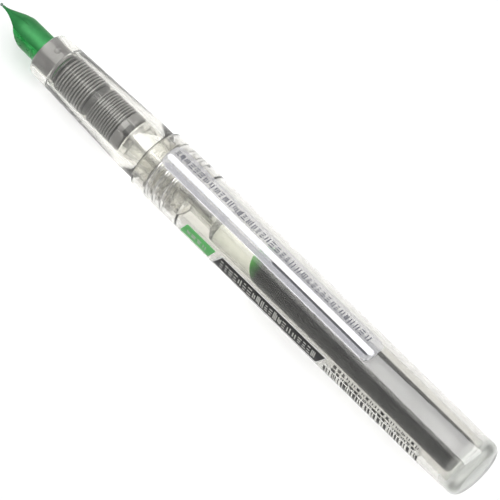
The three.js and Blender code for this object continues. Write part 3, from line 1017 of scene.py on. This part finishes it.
def round_ends(length):
    """Ends for add_plate that are rounded by up to a length at their two corners."""

    def ends(share):
        from_middle = abs(2 * share - 1)
        inset = length * (1 - math.sqrt(max(1 - from_middle**4, 0)))
        return inset, -inset

    return ends


def slanted_ends(slant):
    """Ends for add_plate that lean by a length from one side of the plate to the other."""
    return lambda share: (slant * share, slant * share)


def add_strokes(bm, start, end, low, high, lift, seed, stroke=0.18):
    """A row of plain strokes in cells, for a line of small print. No cell is a letter."""
    chance = random.Random(seed)
    half = stroke / 2
    half_turn = math.degrees(half / BARREL_RADIUS)
    gap = 0.22
    cell = start
    while cell < end - 1:
        width = chance.uniform(0.75, 1.25)
        middle = (low + high) / 2
        reach = (high - low) / 2 * chance.uniform(0.7, 1.0)
        if chance.random() < 0.5:
            bars = chance.choice((2, 3))
            for bar in range(bars):
                at = cell + width * (bar + 0.5) / bars
                top = middle + reach * chance.uniform(0.6, 1)
                bottom = middle - reach * chance.uniform(0.6, 1)
                add_plate(bm, at - half, at + half, bottom, top, lift, PRINT)
        else:
            for bar in (-0.7, 0, 0.7):
                turn = middle + reach * bar
                inset = width * chance.uniform(0, 0.3)
                ends = (cell + inset / 2, cell + width - inset)
                add_plate(bm, *ends, turn - half_turn, turn + half_turn, lift, PRINT)
        cell += width + gap


def add_bars(bm, start, end, low, high, lift, seed):
    """A row of plain bars of several widths."""
    chance = random.Random(seed)
    at = start
    while at < end:
        width = chance.choice((0.2, 0.2, 0.4, 0.6))
        add_plate(bm, at, at + width, low, high, lift, PRINT)
        at += width + chance.choice((0.2, 0.3, 0.5))


def make_plate(name, material, plate, nodes=()):
    """One plate of a label, as a piece on the barrel. plate has what add_plate takes after the mesh."""
    bm = bmesh.new()
    add_plate(bm, *plate)
    make_piece(name, bm, "barrel_body", material, nodes)


def make_notice_label():
    """The film along the top: grey strokes, a white band of painted highlight, a grey strip, a dark line
    of painted shade over the ink and a thin white edge line of painted highlight.
    """
    start, end, low, high = (NOTICE[key] for key in ("start", "end", "low", "high"))
    haze = film("label_haze", linear(208, 208, 211), 0.34)
    # This white film paints highlights: the white band and the thin edge line.
    white = film("label_painted_highlight", linear(240, 240, 244), 0.85)
    strip = film("label_strip", linear(168, 168, 174), 0.4)
    # This dark film paints shade, as a line over the ink.
    line = film("label_painted_shade", linear(66, 66, 72), 0.85)
    grey = film("label_grey", linear(104, 104, 112), 1)
    lift = FILM_LIFT + FILM
    edge = low + EDGE_HIGHLIGHT_TURN
    base = (start, end, low, high, FILM_LIFT, FILM, round_ends(1.6))
    make_plate("notice_film", haze, base, ["notice_label"])
    plates = [
        ("notice_painted_highlight", white, start + 0.3, end - 0.3, SHADE_LINE_HIGH, HIGHLIGHT_BAND_HIGH, lift, PRINT, round_ends(0.5)),
        ("notice_strip", strip, start + 1, end - 1.4, edge, SHADE_LINE_LOW, lift, PRINT, round_ends(0.5)),
        ("notice_painted_shade", line, SHADE_LINE_START, end - 0.8, SHADE_LINE_LOW, SHADE_LINE_HIGH, lift, PRINT, round_ends(0.5)),
        ("notice_painted_edge_highlight", white, start + 1.5, end - 1.5, low, edge, lift, PRINT),
    ]
    for name, material, *plate in plates:
        make_plate(name, material, plate)
    bm = bmesh.new()
    add_strokes(bm, start + 0.8, end - 1.6, 12.5, 27.5, lift + PRINT, 7, 0.21)
    make_piece("notice_strokes", bm, "barrel_body", grey)


def make_side_label():
    """The film on the side: a green tab, a black stripe, small strokes and bars."""
    start, end, low, high = (SIDE[key] for key in ("start", "end", "low", "high"))
    clear = film("label_clear", linear(236, 236, 230), 0.14)
    green = film("label_green", linear(104, 196, 112), 1)
    white = film("label_border", linear(236, 236, 234), 1)
    black = film("label_black", linear(48, 48, 48), 1)
    pale = film("label_pale", linear(196, 196, 190), 1)
    lift = FILM_LIFT + FILM
    make_plate("side_film", clear, (start, end, low, high, FILM_LIFT, FILM), ["side_label"])
    tab = (start + 0.6, TAB_END - 1, -88, -60, lift, PRINT, slanted_ends(1.2))
    make_plate("side_tab", green, tab)
    bm = bmesh.new()
    add_strokes(bm, start + 2.2, TAB_END - 1.5, -78, -68, lift + PRINT, 3)
    make_piece("tab_strokes", bm, "barrel_body", pale)
    ends = slanted_ends(STRIPE_SLANT)
    make_plate("stripe_border", white, (TAB_END, STRIPE_END, -91, -57, lift, PRINT, ends))
    stripe = (TAB_END + 0.3, STRIPE_END - 0.3, -88.5, -59.5, lift + PRINT, PRINT, ends)
    make_plate("side_stripe", black, stripe)
    bm = bmesh.new()
    add_strokes(bm, TAB_END + 1.8, STRIPE_END - 0.4, -84, -63, lift + 2 * PRINT, 5, 0.25)
    make_piece("stripe_strokes", bm, "barrel_body", pale)
    bm = bmesh.new()
    add_strokes(bm, SMALL_PRINT_START, end - 0.2, -62, -55, lift, 11)
    add_strokes(bm, SMALL_PRINT_START, end - 0.2, -71, -64, lift, 12)
    add_bars(bm, BARS_START, end - 0.2, -92, -74, lift, 13)
    make_piece("side_strokes", bm, "barrel_body", black)


# --- The pen -------------------------------------------------------------------------------------


def make_pen():
    """Every piece of the pen."""
    clear = clear_plastic("clear_plastic", linear(226, 225, 221), 0.07, 0.988)
    grip_clear = clear_plastic("grip_plastic", linear(240, 239, 234), 0.07, 0.98)
    inner_clear = clear_plastic("inner_plastic", linear(250, 250, 246), 0.2, 0.965)
    milky = clear_plastic("cartridge_plastic", linear(247, 248, 243), 0.14, 0.985)
    grey = grey_plastic()
    make_barrel(clear)
    make_grip(grip_clear)
    make_connector(inner_clear)
    make_collector(grey)
    make_collector_key(grey)
    make_sleeve(sleeve_plastic())
    make_nib(coated_steel())
    make_feed(green_plastic())
    make_rod(rod_material())
    make_cartridge(milky)
    make_ink(ink_material())
    make_ball(steel("ball_steel", linear(196, 198, 200)))
    make_notice_label()
    make_side_label()
    point_steel = steel("point_steel", linear(120, 140, 128))
    for node in ("tipping_left", "tipping_right"):
        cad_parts[node].data.materials.clear()
        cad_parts[node].data.materials.append(point_steel)


# --- The setting ---------------------------------------------------------------------------------


def make_floor():
    """A large pale surface under the pen."""
    bm = bmesh.new()
    bmesh.ops.create_grid(bm, x_segments=1, y_segments=1, size=3)
    mesh = bpy.data.meshes.new("floor")
    bm.to_mesh(mesh)
    bm.free()
    parts = new_material("floor_white")
    material, _, _, shader = parts
    add_mottle(parts, linear(250, 250, 250), linear(253, 253, 253), 3)
    shader.inputs["Roughness"].default_value = 1.0
    shader.inputs["Specular IOR Level"].default_value = 0.0
    mesh.materials.append(material)
    floor = bpy.data.objects.new("floor", mesh)
    floor.location.z = CAD_BOUNDS[0].z - 0.02 * MM
    bpy.context.scene.collection.objects.link(floor)


def make_panel(name, place, size, radiance):
    """A soft light panel that faces the pen. Its size is (along X, across)."""
    data = bpy.data.lights.new(name, "AREA")
    data.shape = "RECTANGLE"
    data.size, data.size_y = size
    data.energy = radiance * math.pi * size[0] * size[1]
    panel = bpy.data.objects.new(name, data)
    panel.location = place
    panel.rotation_mode = "QUATERNION"
    panel.rotation_quaternion = (-Vector(place)).to_track_quat("-Z", "Y")
    bpy.context.scene.collection.objects.link(panel)
    return panel


def make_lights():
    """A surrounding that only gloss and clear plastic see, paler low down than overhead, a soft key
    panel above that casts no shadow, and a panel that only shows as a highlight along the pen."""
    world = bpy.data.worlds.new("surrounding")
    world.use_nodes = True
    nodes, links = world.node_tree.nodes, world.node_tree.links
    direction = nodes.new("ShaderNodeTexCoord")
    split = nodes.new("ShaderNodeSeparateXYZ")
    links.new(direction.outputs["Generated"], split.inputs["Vector"])
    stops = [(0.25, (0.8, 0.81, 0.82, 1)), (0.6, (0.45, 0.455, 0.46, 1))]
    colours = add_ramp(nodes, links, split.outputs["Z"], stops)
    links.new(colours, nodes["Background"].inputs["Color"])
    bpy.context.scene.world = world
    world.cycles_visibility.diffuse = False
    key = make_panel("key_panel", (-0.1, 0.1, 0.9), (1.2, 1.2), 3.1)
    key.data.use_shadow = False
    key.visible_glossy = False
    shine = make_panel("shine_panel", (0.067, 0.17, 0.627), (0.546, 0.98), 7.0)
    shine.visible_diffuse = False
    shine.visible_transmission = False
    shine.visible_camera = False


def make_camera():
    """The camera: above the pen, turned so that the pen lies across the picture's diagonal."""
    azimuth, elevation = math.radians(46.65), math.radians(67.5)
    back = Vector(
        (
            math.sin(azimuth) * math.cos(elevation),
            -math.cos(azimuth) * math.cos(elevation),
            math.sin(elevation),
        )
    )
    right = Vector((math.cos(azimuth), math.sin(azimuth), 0))
    up = back.cross(right)
    target = point(65.59, 0, 0) + (0.117 * right + 0.119 * up) * MM
    distance = 0.75
    frame_width = 88.17 * MM
    data = bpy.data.cameras.new("camera")
    data.sensor_width = 36
    data.lens = data.sensor_width * distance / frame_width
    data.clip_start = 0.01
    camera = bpy.data.objects.new("camera", data)
    camera.location = target + back * distance
    camera.rotation_mode = "QUATERNION"
    camera.rotation_quaternion = (-back).to_track_quat("-Z", "Y")
    bpy.context.scene.collection.objects.link(camera)
    bpy.context.scene.camera = camera


make_camera()
make_pen()
make_floor()
make_lights()
bpy.context.scene.view_settings.view_transform = "Standard"
